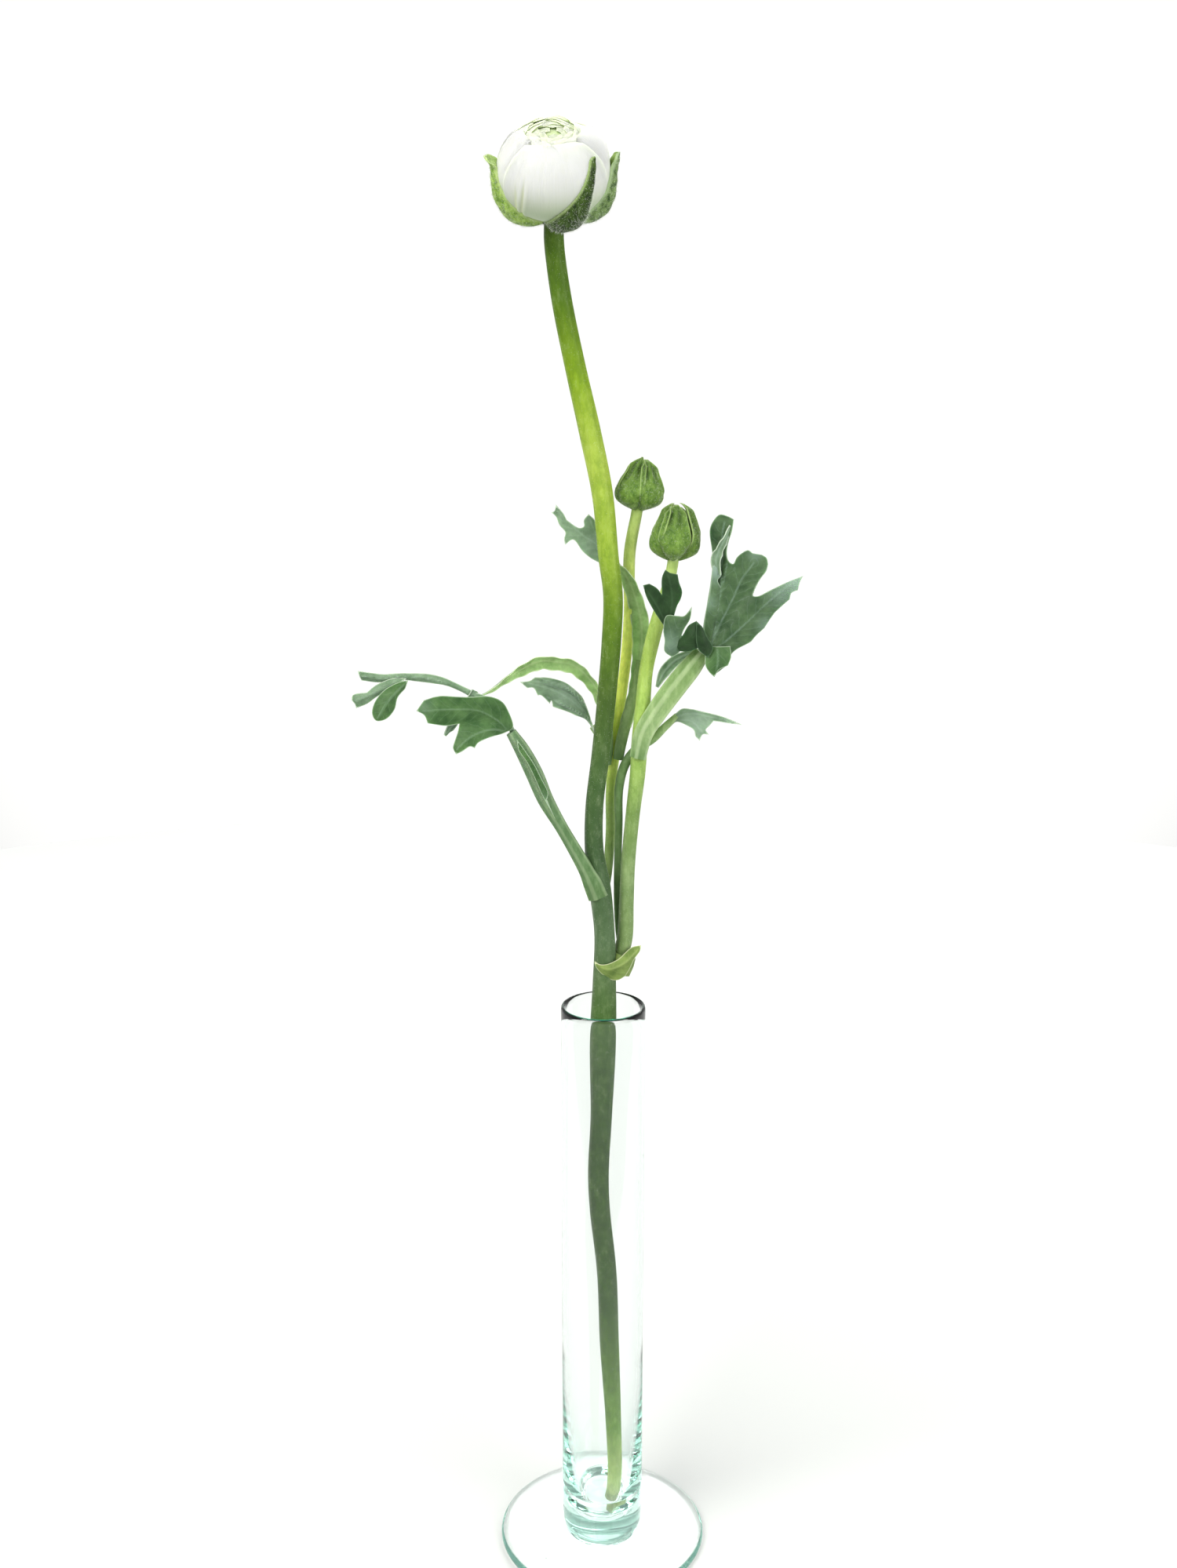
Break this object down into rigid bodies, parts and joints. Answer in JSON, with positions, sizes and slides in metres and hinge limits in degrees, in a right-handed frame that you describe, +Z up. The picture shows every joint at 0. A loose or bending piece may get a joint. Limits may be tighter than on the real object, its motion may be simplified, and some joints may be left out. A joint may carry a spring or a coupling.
{
  "type": "ranunculus flower in glass tube vase",
  "caption": "White ranunculus with closed side buds and cut leaves, standing in a tall clear glass tube vase on a thin round foot.",
  "frame": {"origin": "centre of the underside of the vase's foot", "axes": "+Z up along the vase; the bloom leans toward -Y (front); the leaves spread along X"},
  "size_m": [0.1455, 0.0736, 0.4869],
  "materials": {
    "vase": "clear blown glass, fire-polished rim, slight aqua tint where it is thick",
    "water": null,
    "main_stem": "soft satin, finely hairy",
    "side_stem_right": "soft satin, finely hairy",
    "side_stem_back": "soft satin, finely hairy",
    "bract": "soft satin, veined",
    "leaf_lower_left": "matte leaf, veined",
    "leaf_mid_left": "matte leaf, veined",
    "leaf_back_left": "matte leaf, paler underside, veined",
    "leaf_upper_left": "matte leaf, veined",
    "leaf_right": "matte leaf, veined",
    "leaf_right_small": "matte leaf, paler underside, veined",
    "bloom_petals": "soft, thin, slightly translucent petals",
    "bloom_calyx": "soft, silky hairs",
    "bud_upper": "soft, silky hairs",
    "bud_lower": "soft, silky hairs"
  },
  "bodies": {
    "root": {"vase": "vase", "water": "water", "main_stem": "main_stem", "side_stem_right": "side_stem_right", "side_stem_back": "side_stem_back", "bract": "bract", "leaf_lower_left": "leaf_lower_left", "leaf_mid_left": "leaf_mid_left", "leaf_back_left": "leaf_back_left", "leaf_upper_left": "leaf_upper_left", "leaf_right": "leaf_right", "leaf_right_small": "leaf_right_small", "bloom_petals": "bloom_petals", "bloom_calyx": "bloom_calyx", "bud_upper": "bud_upper", "bud_lower": "bud_lower"}
  },
  "joints": []
}
